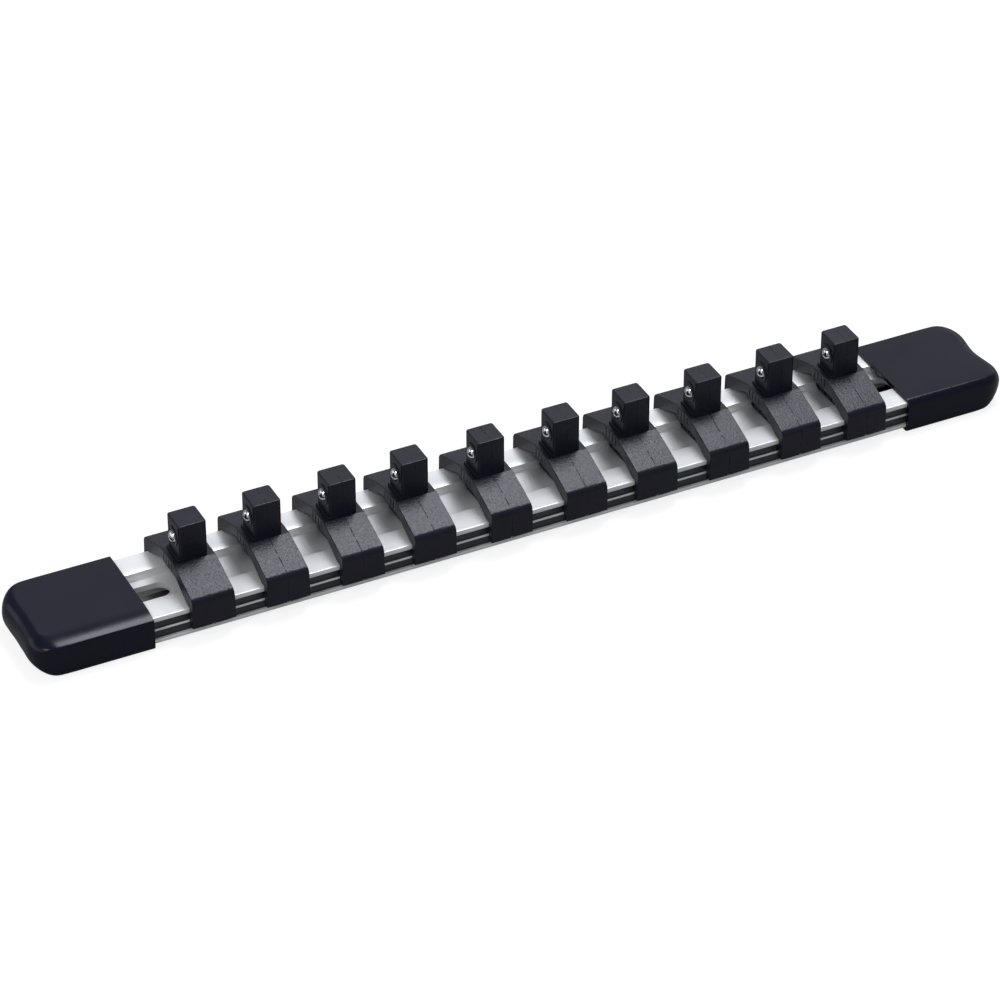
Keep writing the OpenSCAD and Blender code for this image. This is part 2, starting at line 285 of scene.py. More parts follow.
# %% Floor glow
CAMERA_GLOW, GLOSS_GLOW = 0.82, 0.06
rays = add(tree, "ShaderNodeLightPath").outputs
glow = add(tree, "ShaderNodeMath", {1: CAMERA_GLOW}, {0: rays["Is Camera Ray"]},
           operation="MULTIPLY").outputs["Value"]
for kind in ("Is Glossy Ray", "Is Transmission Ray"):
    glow = add(tree, "ShaderNodeMath", {1: GLOSS_GLOW}, {0: rays[kind], 2: glow},
               operation="MULTIPLY_ADD").outputs["Value"]
spot = add(tree, "ShaderNodeTexCoord").outputs["Object"]
apart = add(tree, "ShaderNodeSeparateXYZ", links={"Vector": spot})
UNDER_RAIL = (("X", 140, 150), ("X", -122, -165), ("Y", 12, 15), ("Y", -12, -15))
open_floor = None
for axis, near, far in UNDER_RAIL:
    away = add(tree, "ShaderNodeMapRange", {"From Min": near * MM, "From Max": far * MM},
               {"Value": apart.outputs[axis]}).outputs["Result"]
    if open_floor is None:
        open_floor = away
    else:
        open_floor = add(tree, "ShaderNodeMath", links={0: open_floor, 1: away},
                         operation="MAXIMUM").outputs["Value"]
lit = add(tree, "ShaderNodeMath", links={0: glow, 1: open_floor}, operation="MULTIPLY")
tree.links.new(lit.outputs["Value"], shader.inputs["Emission Strength"])
print(paper.name, len(tree.nodes), "nodes")

# %% [markdown]
# ## Rail
# The rail is extruded aluminium: hot metal is pushed through a die, so one outline runs its
# whole length and fine lines run along it. The same idea makes the mesh. One outline is
# drawn from a few corners and pushed along X. Small bevels on the long edges catch the
# light as the real ones do.

# %% Rail outline
half_w = rail_high.y
top, bottom = rail_high.z, rail_low.z
strip_t, channel_w, channel_d, floor_t, channel_wall = 1.8, 14.8, 2.9, 2.0, 1.6
groove_y, side_wall, flange_t = half_w - 1.4, 1.5, 1.3
rib_out, rib_high, rib_low = 0.7, 4.9, 5.7
outline = [
    (0, top - channel_d), (channel_w / 2, top - channel_d), (channel_w / 2, top),
    (half_w, top), (half_w, top - strip_t), (groove_y, top - strip_t),
    (groove_y, top - rib_high), (groove_y + rib_out, top - rib_high),
    (groove_y + rib_out, top - rib_low), (groove_y, top - rib_low),
    (groove_y, bottom + flange_t), (half_w, bottom + flange_t), (half_w, bottom),
    (groove_y - side_wall, bottom), (groove_y - side_wall, top - strip_t),
    (channel_w / 2 + channel_wall, top - strip_t), (channel_w / 2 + channel_wall, bottom),
    (channel_w / 2, bottom), (channel_w / 2, top - channel_d - floor_t),
    (0, top - channel_d - floor_t),
]
rail = bmesh.new()
corners = [rail.verts.new((rail_low.x, y, z)) for y, z in outline]
rail.faces.new(corners)
bmesh.ops.mirror(rail, geom=rail.verts[:] + rail.edges[:] + rail.faces[:], axis="Y",
                 merge_dist=0.001)
bmesh.ops.dissolve_faces(rail, faces=rail.faces[:])
middle = [v for v in rail.verts if abs(v.co.y) < 0.001]
bmesh.ops.dissolve_verts(rail, verts=middle)
end = bmesh.ops.extrude_face_region(rail, geom=rail.faces[:])
pushed = [g for g in end["geom"] if is_vert(g)]
bmesh.ops.translate(rail, vec=(rail_high.x - rail_low.x, 0, 0), verts=pushed)
bmesh.ops.recalc_face_normals(rail, faces=rail.faces)
print("rail outline", len(outline), "corners on each side")


# %% Rail edges
def long_edges(bm, test):
    """Edges that run along X and whose middle passes a test."""
    return [e for e in bm.edges if run_of(e, 0) > 50
            and test((e.verts[0].co + e.verts[1].co) / 2)]


outer = long_edges(rail, lambda p: abs(p.y) > half_w - 0.01)
round_edges(rail, outer, radius=0.4, segments=4)
inner = long_edges(rail, lambda p: abs(abs(p.y) - channel_w / 2) < 0.01 and p.z > top - 0.01)
round_edges(rail, inner, radius=0.2, segments=2)
rib_z = top - (rib_high + rib_low) / 2
ribs = long_edges(rail, lambda p: abs(abs(p.y) - groove_y - rib_out) < 0.01
                  and abs(p.z - rib_z) < 0.5)
round_edges(rail, ribs, radius=0.3, segments=3)
print("rounded long edges", len(outer), len(inner), len(ribs))

# %% [markdown]
# ## Rail slots and ends
# The two slots for mounting screws are milled through the channel's floor after the rail
# is cut to length, so booleans cut them out of the finished bar. The rail's ends sit inside
# the caps, whose corners are round. A square end would poke through them, so the rail is
# also cut to a block with round corners.

# %% Rail slots and ends
def slot_shape(middle_x, width, length, low, high):
    """A bar with round ends: a circle pulled apart into two halves, pushed upwards."""
    bm = bmesh.new()
    bmesh.ops.create_circle(bm, cap_ends=True, segments=48, radius=width / 2)
    for side in (-1, 1):
        half = [v for v in bm.verts if v.co.x * side > 0.001]
        bmesh.ops.translate(bm, vec=(side * (length - width) / 2, 0, 0), verts=half)
    bmesh.ops.translate(bm, vec=(middle_x, 0, low), verts=bm.verts)
    lifted = bmesh.ops.extrude_face_region(bm, geom=bm.faces[:])
    up = [g for g in lifted["geom"] if is_vert(g)]
    bmesh.ops.translate(bm, vec=(0, 0, high - low), verts=up)
    bmesh.ops.recalc_face_normals(bm, faces=bm.faces)
    return bm


SLOT_W, SLOT_L, SLOT_TO_CAP = 7.6, 17.8, 4.55
slot_x = box_mm("cap_right")[0].x - SLOT_TO_CAP
slot_low, slot_high = top - channel_d - floor_t - 1, top - channel_d + 1
slots = [(slot_shape(s * slot_x, SLOT_W, SLOT_L, slot_low, slot_high), "DIFFERENCE")
         for s in (-1, 1)]
blank = box_between((rail_low.x - 0.01, -half_w - 0.01, bottom - 1),
                    (rail_high.x + 0.01, half_w + 0.01, top + 1))
round_edges(blank, [e for e in blank.edges if run_of(e, 2) > 5], radius=6, segments=8)
rail = combine(rail, slots + [(blank, "INTERSECT")])
print("rail faces", len(rail.faces), "slots at x", round(slot_x, 2))

# %% [markdown]
# ## Aluminium
# Mill-finish extruded aluminium is satin: it mirrors its surroundings softly, and the die
# leaves fine lines along it. Its thin oxide and those lines scatter much of the light, so the
# strips stay bright beside the dark clips, and the metallic value is lowered until they do.
# The die lines come from a noise pattern that is stretched a hundred times along X, about
# 0.25 mm apart across the rail. Deep in the side grooves the colour is darker: painted shade, with
# some grime.

# %% Aluminium finish
aluminium, tree, shader = start_material("mill finish aluminium", Metallic=0.3, Roughness=0.36)
place = add(tree, "ShaderNodeTexCoord").outputs["Object"]
along = add(tree, "ShaderNodeMapping", {"Scale": (0.01, 1, 1)},
            {"Vector": place}).outputs["Vector"]
lines = add(tree, "ShaderNodeTexNoise", {"Scale": 1 / (0.5 * MM), "Detail": 3.0, "Roughness": 0.6},
            {"Vector": along}).outputs["Fac"]
cloud = add(tree, "ShaderNodeTexNoise", {"Scale": 1 / (30 * MM), "Detail": 2.0},
            {"Vector": place}).outputs["Fac"]
ramp = add(tree, "ShaderNodeValToRGB", links={"Fac": cloud})
ramp.color_ramp.elements[0].color = colour("DFE0E0")
ramp.color_ramp.elements[1].color = colour("EAEBEB")
rough = add(tree, "ShaderNodeMapRange", {"To Min": 0.32, "To Max": 0.42},
            {"Value": lines}).outputs["Result"]
tree.links.new(rough, shader.inputs["Roughness"])
bump = add(tree, "ShaderNodeBump", {"Strength": 0.3, "Distance": 0.01 * MM}, {"Height": lines})
tree.links.new(bump.outputs["Normal"], shader.inputs["Normal"])
print(aluminium.name, len(tree.nodes), "nodes")

# %% Painted shade and grime in the grooves
# Three masks are multiplied: behind the rail's face, below the strips, and outside the
# hollow under the channel. Each fades between its two values, in millimetres. Their product
# darkens the colour there: painted shade, with some grime.
spot = add(tree, "ShaderNodeSeparateXYZ", links={"Vector": place})
aside = add(tree, "ShaderNodeMath", links={0: spot.outputs["Y"]}, operation="ABSOLUTE")
strip_z = top - strip_t
fades = ((aside.outputs["Value"], half_w - 0.85, half_w - 1.15),
         (spot.outputs["Z"], strip_z + 0.1, strip_z - 0.1),
         (aside.outputs["Value"], 12, 13))
groove = None
for source, untouched_at, darkest_at in fades:
    mask = add(tree, "ShaderNodeMapRange", {"From Min": untouched_at * MM, "From Max": darkest_at * MM},
               {"Value": source}).outputs["Result"]
    if groove is None:
        groove = mask
    else:
        groove = add(tree, "ShaderNodeMath", links={0: groove, 1: mask},
                     operation="MULTIPLY").outputs["Value"]
# Painted shade, with some grime: the grooves' colour is darkened towards 3C4044.
shade_and_grime = add(tree, "ShaderNodeMix", {7: colour("3C4044")},
            {"Factor": groove, 6: ramp.outputs["Color"]}, data_type="RGBA")
tree.links.new(shade_and_grime.outputs[2], shader.inputs["Base Color"])

rail_piece = as_object(to_metres(rail), "rail_extrusion")
finish_piece(rail_piece, aluminium, "rail", "rail", "rail")
print("rail piece", len(rail_piece.data.polygons), "faces")

# %% [markdown]
# ## End caps
# The caps are dipped vinyl: a warm metal form is dipped into liquid vinyl, so the skin is
# soft and round at the closed end, slopes gently towards its long edges, and is crisp only at
# the rim, where the cap is cut from its form. A block with bevels would give round edges of
# one radius. Here the outline seen from above is grown upwards and downwards in steps. Each
# step moves inwards by one table of distances along the sides and by a bigger one at the end.
# Soft vinyl never sets twice the same: the right cap's end is pulled in between its lobes,
# and the left one is almost straight. Each row of a table is how far inwards the skin lies
# there, and its height over the cap's middle.

# %% Cap measures
cap_low, cap_high = box_mm("cap_right")
end_x = cap_high.x
wide, tall = cap_high.y, (cap_high.z - cap_low.z) / 2
mid_z = (cap_high.z + cap_low.z) / 2
SLOPE, EDGE_R, BOTTOM_R = math.radians(22), 0.8, 1.8
CROWN_R, CROWN_REACH, CROWN_RISE = 16.7, 6.75, 0.06
side_z, edge_z = tall - 3.2, tall - 1.96

sloped = [(0, side_z), (0, edge_z)]
sloped += [(EDGE_R * (1 - math.cos(a)), edge_z + EDGE_R * math.sin(a))
           for a in (k / 5 * (math.pi / 2 - SLOPE) for k in range(1, 6))]
sloped += [(CROWN_REACH - CROWN_R * math.sin(a), tall - CROWN_R * (1 - math.cos(a)))
           for a in (SLOPE * (1 - k / 9) for k in range(1, 10))]
lower = [(0, -tall + 3.0)]
lower += [(BOTTOM_R * (1 - math.cos(a)), -tall + BOTTOM_R * (1 - math.sin(a)))
          for a in (k / 7 * math.pi / 2 for k in range(8))]


def plain_edge(radius):
    """Steps of a side whose top edge is simply round, and whose top is flat from there."""
    steps = [(0, side_z)]
    steps += [(radius * (1 - math.cos(a)), tall - CROWN_RISE - radius * (1 - math.sin(a)))
              for a in (k / 9 * math.pi / 2 for k in range(10))]
    steps += [(radius + k / 5 * (CROWN_REACH - radius), tall - CROWN_RISE * (1 - k / 5))
              for k in range(1, 6)]
    return steps


plain = plain_edge(1.3)
print("cap steps up", len(sloped), len(plain), "down", len(lower))


# %% Cap steps
def end_steps(count, reach, sign):
    """The closed end's quarter ellipse, from its middle height to its top or bottom."""
    turns = [(k + 1) / count * math.pi / 2 for k in range(count)]
    return [(reach * (1 - math.cos(a)), sign * tall * math.sin(a)) for a in turns]


def grow(bm, edges, steps, place):
    """Extrudes a ring of edges step by step. place gives a point's new spot."""
    start = {v: v for e in edges for v in e.verts}
    for step in steps:
        grown = bmesh.ops.extrude_edge_only(bm, edges=edges)["geom"]
        fresh = {g for g in grown if is_vert(g)}
        edges = [g for g in grown if isinstance(g, bmesh.types.BMEdge)
                 and fresh.issuperset(g.verts)]
        for v in fresh:
            old = next(e.other_vert(v) for e in v.link_edges if e.other_vert(v) not in fresh)
            start[v] = start[old]
            v.co = place(start[v].co, *step)
    return edges


def cap_place(first, step, rim, radii, pull):
    """Where a point of the outline goes in one step: inwards, and up or down.

    step holds the front's, the back's and the end's row of their tables. radii holds the
    outline's corner radii at the front and the back. pull draws the foot's corners in.
    """
    x, y, z = first
    front, back, end = step
    radius = radii[0] if y < 0 else radii[1]
    if x < rim + 0.01 and abs(y) < wide - 0.01:
        out_x, out_y = 0.0, abs(y) / wide
    else:
        out_x = max(0.0, x - end_x + radius) / radius
        out_y = max(0.0, abs(y) - wide + radius) / radius
    share, rear = out_x ** 2, min(1.0, max(0.0, 0.5 + y / wide))
    side = [a + (b - a) * rear for a, b in zip(front, back)]
    foot = max(0.0, -side[1] / tall) ** 4
    inwards = side[0] + (end[0] - side[0]) * share + pull * out_x * out_y * foot
    height = side[1] + (end[1] - side[1]) * share
    return (x - inwards * out_x, y - math.copysign(inwards * out_y, y), height)


# %% Cap outline and end
def cap_outline(rim, radii):
    """The outline seen from above, with round corners at the end, as edges to grow."""
    bm = bmesh.new()
    places = ((rim, -wide), (end_x, -wide), (end_x, wide), (rim, wide))
    corners = [bm.verts.new((x, y, 0)) for x, y in places]
    bm.faces.new(corners)
    for corner, radius in zip(corners[1:3], radii):
        bmesh.ops.bevel(bm, geom=[corner], offset=radius, segments=16, profile=0.5,
                        affect="VERTICES", material=-1)
    bmesh.ops.delete(bm, geom=bm.faces[:], context="FACES_ONLY")
    straight = [e for e in bm.edges if e.calc_length() > 4]
    bmesh.ops.subdivide_edges(bm, edges=straight, cuts=15)
    return bm


def soften_corners(bm):
    """Smooths the closed end's corners, all but the flat top and foot."""
    reach_x, reach_y, rounds = 12, 13, 4
    turned = [v for v in bm.verts if v.co.x > end_x - reach_x
              and abs(v.co.y) > wide - reach_y and abs(v.co.z) < tall - 0.001]
    for _ in range(rounds):
        bmesh.ops.smooth_vert(bm, verts=turned, factor=0.5, use_axis_x=True, use_axis_y=True,
                              use_axis_z=True)


def draw_end(bm, dish, longer):
    """Moves the end out by longer, and its middle in by dish, fading along the cap."""
    fade_start, fade_length, lobe_y = end_x - 15, 9, 11.5
    for v in bm.verts:
        fade = min(1.0, max(0.0, (v.co.x - fade_start) / fade_length))
        across = min(1.0, abs(v.co.y) / lobe_y)
        hollow = dish * (0.5 + 0.5 * math.cos(math.pi * across))
        v.co.x += fade * fade * (3 - 2 * fade) * (longer - hollow)


# %% Cap skin
def cap_shape(rim, dish, longer, front, radii, reaches, pull):
    """One closed cap with its end to the right.

    rim is where it begins along X, and front the table of its front edge. reaches holds
    how far the end's curve comes in at the top and at the foot.
    """
    bm = cap_outline(rim, radii)
    ring = bm.edges[:]
    for tables, reach, sign in (((front, plain), reaches[0], 1),
                                ((lower, lower), reaches[1], -1)):
        steps = list(zip(*tables, end_steps(len(tables[1]), reach, sign)))
        edges = grow(bm, ring, steps,
                     lambda first, *step: cap_place(first, step, rim, radii, pull))
        bmesh.ops.contextual_create(bm, geom=edges)
    soften_corners(bm)
    draw_end(bm, dish, longer)
    bmesh.ops.recalc_face_normals(bm, faces=bm.faces)
    cut = [f for f in bm.faces if f.normal.x < -0.99 and f.calc_center_median().x < rim + 0.01]
    bmesh.ops.dissolve_faces(bm, faces=cut)
    crisp = [e for e in bm.edges if all(v.co.x < rim + 0.01 for v in e.verts)]
    round_edges(bm, crisp, radius=0.18, segments=2)
    return bm


# %% Cap inside
ROOM_GAP, END_WALL = 0.05, 4.7


def hollow_out(bm):
    """Cuts the room for the rail's end out of a cap, and lifts the cap to its height."""
    half_y, half_z = half_w + ROOM_GAP, (top - bottom) / 2 + ROOM_GAP
    room = box_between((end_x - 45, -half_y, -half_z), (end_x - END_WALL, half_y, half_z))
    upright = [e for e in room.edges if run_of(e, 2) > 5
               and min(v.co.x for v in e.verts) > end_x - 5]
    round_edges(room, upright, radius=5.95, segments=8)
    round_edges(room, [e for e in room.edges if run_of(e, 0) > 9], radius=0.4, segments=3)
    bmesh.ops.triangulate(room, faces=room.faces[:])
    bm = combine(bm, [(room, "DIFFERENCE")])
    bmesh.ops.translate(bm, vec=(0, 0, mid_z), verts=bm.verts)
    return bm


right_skin = cap_shape(rim=cap_low.x + 0.5, dish=1.35, longer=0.8, front=plain_edge(2.4),
                       radii=(8.5, 9), reaches=(4.8, 7.5), pull=6)
left_skin = cap_shape(rim=cap_low.x - 1.0, dish=0.35, longer=0, front=sloped,
                      radii=(8.2, 9.5), reaches=(4.8, 6.6), pull=1.0)
right_cap, left_cap = hollow_out(right_skin), hollow_out(left_skin)
bmesh.ops.scale(left_cap, vec=(-1, 1, 1), verts=left_cap.verts)
print("cap faces", len(right_cap.faces), len(left_cap.faces))

# %% [markdown]
# ## Vinyl
# Dipped vinyl is a soft glossy black with a cold tint. It sets while it drips, so its skin
# waves very slightly over a few millimetres, and its colour and gloss change a little from
# place to place. The gloss is low for its smoothness, because vinyl is soft and fine pits
# scatter the light, so its IOR is below a hard plastic's.

# %% Vinyl
vinyl, tree, shader = start_material("dipped black vinyl", Roughness=0.22, IOR=1.3)
place = add(tree, "ShaderNodeTexCoord").outputs["Object"]
cloud = add(tree, "ShaderNodeTexNoise", {"Scale": 1 / (14 * MM), "Detail": 3.0},
            {"Vector": place}).outputs["Fac"]
ramp = add(tree, "ShaderNodeValToRGB", links={"Fac": cloud})
ramp.color_ramp.elements[0].position, ramp.color_ramp.elements[1].position = 0.3, 0.7
ramp.color_ramp.elements[0].color = colour("0B0C1B")
ramp.color_ramp.elements[1].color = colour("0F1020")
tree.links.new(ramp.outputs["Color"], shader.inputs["Base Color"])
rough = add(tree, "ShaderNodeMapRange", {"To Min": 0.19, "To Max": 0.27},
            {"Value": cloud}).outputs["Result"]
tree.links.new(rough, shader.inputs["Roughness"])
wave = add(tree, "ShaderNodeTexNoise", {"Scale": 1 / (5 * MM), "Detail": 1.0},
           {"Vector": place}).outputs["Fac"]
soft = add(tree, "ShaderNodeBump", {"Strength": 0.3, "Distance": 0.03 * MM}, {"Height": wave})
tree.links.new(soft.outputs["Normal"], shader.inputs["Normal"])
print(vinyl.name, len(tree.nodes), "nodes")

# %% Two caps
for bm, side in ((right_cap, "right"), (left_cap, "left")):
    skin = as_object(to_metres(bm, 40), f"cap_{side}_vinyl")
    flat = skin.modifiers.new("weighted normals", "WEIGHTED_NORMAL")
    flat.keep_sharp = True
    finish_piece(skin, vinyl, f"cap_{side}", "caps", f"cap_{side}")
    print(skin.name, len(skin.data.polygons), "faces")

# %% [markdown]
# ## Clips
# A clip is one moulding: a bridge that hooks over the rail's edges, a guide with ribs that
# runs in the channel, and a square post on a low pad. A moulding has one wall outline with
# rounded corners, slightly tapered sides so that it leaves the mould, and soft edges. So the
# bridge's outline is drawn once, its corners are rounded, and it is pushed along X. The
# guide, post and ring are blocks with bevels that are joined to it, and the ball's bore is
# cut out. The ten clips are copies of one master. Each row of the outline below is a
# corner's Y and Z, and then its radius. It runs from the crown down the outer side to the
# foot, up past the hook, and along the arch.

# %% Bridge outline
clip_low, clip_high = box_mm("clip_05")
clip_w = clip_high.x - clip_low.x
foot, crown, post_top = clip_low.z, top + 8.7, clip_high.z
leg_out, leg_in, shoulder = clip_high.y, half_w + 0.2, top + 3.9
hook_y = leg_in - 1.1
half_outline = [
    ((5.0, crown), 1.2), ((leg_out, shoulder), 2.2), ((leg_out, foot), 0.5),
    ((leg_in, foot), 0.5), ((leg_in, foot + 2.05), 0.3), ((hook_y, foot + 3.15), 0.5),
    ((hook_y, foot + 4.25), 0.4), ((leg_in, foot + 4.25), 0.2), ((leg_in, top + 0.2), 0.2),
    ((leg_in - 1.4, top + 0.2), 3.0), ((5.0, crown - 3.5), 7.0),
]


def round_corner(bm, vert, radius, segments):
    """Rounds one corner of a flat outline to a radius."""
    ways = [(e.other_vert(vert).co - vert.co).normalized() for e in vert.link_edges]
    half = ways[0].angle(ways[1]) / 2
    bmesh.ops.bevel(bm, geom=[vert], offset=radius / math.tan(half), segments=segments,
                    profile=0.5, affect="VERTICES", material=-1)


clip = bmesh.new()
both = half_outline + [((-y, z), radius) for (y, z), radius in reversed(half_outline)]
points = [(clip.verts.new((-clip_w / 2, y, z)), radius) for (y, z), radius in both]
clip.faces.new([v for v, radius in points])
for vert, radius in points:
    round_corner(clip, vert, radius, 8 if radius > 1 else 2)
print("bridge outline", len(clip.verts), "points")

# %% Bridge
# The two upper slopes, the long slanting edges near the crown, bow out a little. The
# sides lean in towards the top, and the feet have round corners.
BOW, TAPER = 0.14, 0.02
slopes = [e for e in clip.edges if e.calc_length() > 8 and run_of(e, 2) > 2
          and max(v.co.z for v in e.verts) > crown - 2]
for edge in slopes:
    low, high = sorted((v.co.copy() for v in edge.verts), key=lambda p: p.z)
    split = bmesh.ops.subdivide_edges(clip, edges=[edge], cuts=7)["geom_inner"]
    for v in (g for g in split if is_vert(g)):
        t = (v.co - low).length / (high - low).length
        v.co.z += BOW * 4 * t * (1 - t)
end = bmesh.ops.extrude_face_region(clip, geom=clip.faces[:])
pushed = [g for g in end["geom"] if is_vert(g)]
bmesh.ops.translate(clip, vec=(clip_w, 0, 0), verts=pushed)
bmesh.ops.recalc_face_normals(clip, faces=clip.faces)
feet = [e for e in clip.edges if run_of(e, 1) > 1
        and all(abs(abs(v.co.x) - clip_w / 2) < 0.01 and v.co.z < foot + 0.01 for v in e.verts)]
round_edges(clip, feet, radius=0.9, segments=5)
for v in clip.verts:
    lean = TAPER * (v.co.z - foot)
    v.co.x -= math.copysign(min(lean, abs(v.co.x)), v.co.x)
ends = [e for e in clip.edges if len(e.link_faces) == 2
        and any(abs(f.normal.x) > 0.9 and f.calc_area() > 20 for f in e.link_faces)
        and not all(abs(f.normal.x) > 0.9 for f in e.link_faces)]
round_edges(clip, ends, radius=0.28, segments=2)
print("slopes", len(slopes), "feet", len(feet), "side edges", len(ends))

# %% [markdown]
# ## Guide and post
# What stands on the bridge and under it is made of blocks with bevels. The guide and its
# ribs end inside the arch's shadow, because the photograph shows no more of them than dark
# ticks. Shallow flutes beside the post keep the moulding's walls even, so that it cools
# without sinking, and a small nick in each foot lies where the mould's halves meet.

# %% Collar and guide
guide_half = channel_w / 2 - 0.3
guide_low = top - channel_d + 0.3
pad_low = crown - 1.75
COLLAR_X, COLLAR_Y, GUIDE_X, RIB_X, RIB_W = 6, 6.3, 3.4, 3.9, 1
tools = []
collar = box_between((-COLLAR_X, -COLLAR_Y, top + 2.4), (COLLAR_X, COLLAR_Y, pad_low))
round_edges(collar, [e for e in collar.edges if min(v.co.z for v in e.verts) < top + 3],
            radius=0.25, segments=2)
tools.append((collar, "UNION"))
guide = box_between((-GUIDE_X, -guide_half, guide_low), (GUIDE_X, guide_half, crown - 3))
tools.append((guide, "UNION"))
for k in range(4):
    y0 = -guide_half + k * (2 * guide_half - RIB_W) / 3
    rib = box_between((-RIB_X, y0, guide_low + 0.9), (RIB_X, y0 + RIB_W, crown - 3.2))
    round_edges(rib, rib.edges[:], radius=0.2, segments=2)
    tools.append((rib, "UNION"))
print("guide", round(2 * guide_half, 2), "mm wide")

# %% Pad and post
POST_HALF = 4.7
pad = box_between((-POST_HALF - 0.55, -POST_HALF - 0.05, pad_low), (0, POST_HALF, crown + 0.8))
round_edges(pad, [e for e in pad.edges if max(v.co.z for v in e.verts) > crown],
            radius=0.2, segments=2)
tools.append((pad, "UNION"))
post = box_between((-POST_HALF, -POST_HALF, pad_low), (POST_HALF, POST_HALF, post_top))
round_edges(post, [e for e in post.edges if run_of(e, 2) > 5], radius=0.9, segments=5)
round_edges(post, [e for e in post.edges if min(v.co.z for v in e.verts) > post_top - 0.01],
            radius=0.5, segments=3)
tools.append((post, "UNION"))
print("post", 2 * POST_HALF, "mm square, top at", round(post_top, 2))


# %% Ring and bore
def barrel(radius, x0, x1, z, segments=48):
    """A round bar along X."""
    bm = bmesh.new()
    bmesh.ops.create_cone(bm, cap_ends=True, segments=segments, radius1=radius,
                          radius2=radius, depth=x1 - x0)
    bmesh.ops.rotate(bm, matrix=Matrix.Rotation(math.pi / 2, 3, "Y"), verts=bm.verts)
    bmesh.ops.translate(bm, vec=((x0 + x1) / 2, 0, z), verts=bm.verts)
    return bm


# The bore is a little narrower at its mouth, and that lip keeps the ball in.
RING_R, LIP_R, BORE_R, BORE_END = 3.48, 2.24, 2.44, 3.3
ball_z = (box_mm("ball_05")[0].z + box_mm("ball_05")[1].z) / 2
ring_x = -POST_HALF - 0.3
ring = barrel(RING_R, ring_x, -POST_HALF + 1, ball_z)
round_edges(ring, [e for e in ring.edges if all(v.co.x < ring_x + 0.01 for v in e.verts)],
            radius=0.2, segments=2)
tools.append((ring, "UNION"))
tools.append((barrel(LIP_R, ring_x - 1, BORE_END, ball_z), "DIFFERENCE"))
tools.append((barrel(BORE_R, ring_x + 0.3, BORE_END, ball_z), "DIFFERENCE"))
print("bore", 2 * BORE_R, "mm across")

# %% Foot nicks and flutes
NICK_HALF_X, NICK_H = 0.6, 0.5
FLUTE_X, FLUTE_HALF_X, FLUTE_HALF_Y = 7.3, 0.42, 0.24
for side in (-1, 1):
    y = side * (leg_out + leg_in) / 2
    nick = box_between((-NICK_HALF_X, y - 2, foot - 1), (NICK_HALF_X, y + 2, foot + NICK_H))
    tools.append((nick, "DIFFERENCE"))
    for k in range(4):
        x, y = side * FLUTE_X, 2.9 - 2.1 * k
        flute = box_between((x - FLUTE_HALF_X, y - FLUTE_HALF_Y, crown - 3.3),
                            (x + FLUTE_HALF_X, y + FLUTE_HALF_Y, crown - 0.5))
        tools.append((flute, "DIFFERENCE"))
clip = combine(clip, tools)
bmesh.ops.remove_doubles(clip, verts=clip.verts, dist=0.002)
print("clip master", len(clip.verts), "points", len(clip.faces), "faces")

# %% [markdown]
# ## Moulded plastic
# The clips are acetal, moulded in a spark-eroded steel mould, which leaves a fine even grain
# and a satin sheen. The real grain is finer than the picture can show, so it is drawn
# 0.7 mm coarse. Where the two halves of the mould meet, a hair line runs round the clip. It
# follows the clip and not the room, so each vertex stores its distance from the clip's
# middle, and the material draws the line where that distance is near nothing. The line
# comes and goes, because the halves don't close alike all the way. The first clip shows none.

# %% Plastic grain
acetal, tree, shader = start_material("black acetal", Roughness=0.36, IOR=1.4)
place = add(tree, "ShaderNodeTexCoord").outputs["Object"]
cloud = add(tree, "ShaderNodeTexNoise", {"Scale": 1 / (7 * MM), "Detail": 4.0},
            {"Vector": place}).outputs["Fac"]
ramp = add(tree, "ShaderNodeValToRGB", links={"Fac": cloud})
ramp.color_ramp.elements[0].position, ramp.color_ramp.elements[1].position = 0.3, 0.7
ramp.color_ramp.elements[0].color = colour("0B0B17")
ramp.color_ramp.elements[1].color = colour("121222")
grain = add(tree, "ShaderNodeTexNoise", {"Scale": 1 / (0.7 * MM), "Detail": 3.0},
            {"Vector": place}).outputs["Fac"]
SMOOTHEST, ROUGHEST = 0.26, 0.5
satin = add(tree, "ShaderNodeMapRange", {"To Min": SMOOTHEST, "To Max": ROUGHEST},
            {"Value": grain}).outputs["Result"]
skin_bump = add(tree, "ShaderNodeBump", {"Strength": 1.0, "Distance": 0.09 * MM},
                {"Height": grain})
print("roughness of the grain", SMOOTHEST, "to", ROUGHEST)

# %% Mould line
SEAM_HALF = 0.16
off = add(tree, "ShaderNodeAttribute", attribute_name="from_middle").outputs["Fac"]
away = add(tree, "ShaderNodeMath", links={0: off}, operation="ABSOLUTE").outputs["Value"]
seam = add(tree, "ShaderNodeMapRange",
           {"From Min": 0.0, "From Max": SEAM_HALF, "To Min": 1.0, "To Max": 0.0},
           {"Value": away}).outputs["Result"]
breaks = add(tree, "ShaderNodeTexNoise", {"Scale": 1 / (1.6 * MM), "Detail": 1.0},
             {"Vector": place}).outputs["Fac"]
patchy = add(tree, "ShaderNodeMapRange", {"From Min": 0.4, "From Max": 0.6},
             {"Value": breaks}).outputs["Result"]
line = add(tree, "ShaderNodeMath", links={0: seam, 1: patchy},
           operation="MULTIPLY").outputs["Value"]
rough = add(tree, "ShaderNodeMath", links={0: satin, 1: line}, operation="ADD")
tree.links.new(rough.outputs["Value"], shader.inputs["Roughness"])
dark = add(tree, "ShaderNodeMix", {7: colour("08080A")},
           {"Factor": line, 6: ramp.outputs["Color"]}, data_type="RGBA")
tree.links.new(dark.outputs[2], shader.inputs["Base Color"])
seam_bump = add(tree, "ShaderNodeBump", {"Strength": 0.7, "Distance": -0.04 * MM},
                {"Height": line, "Normal": skin_bump.outputs["Normal"]})
tree.links.new(seam_bump.outputs["Normal"], shader.inputs["Normal"])
print(acetal.name, len(tree.nodes), "nodes")

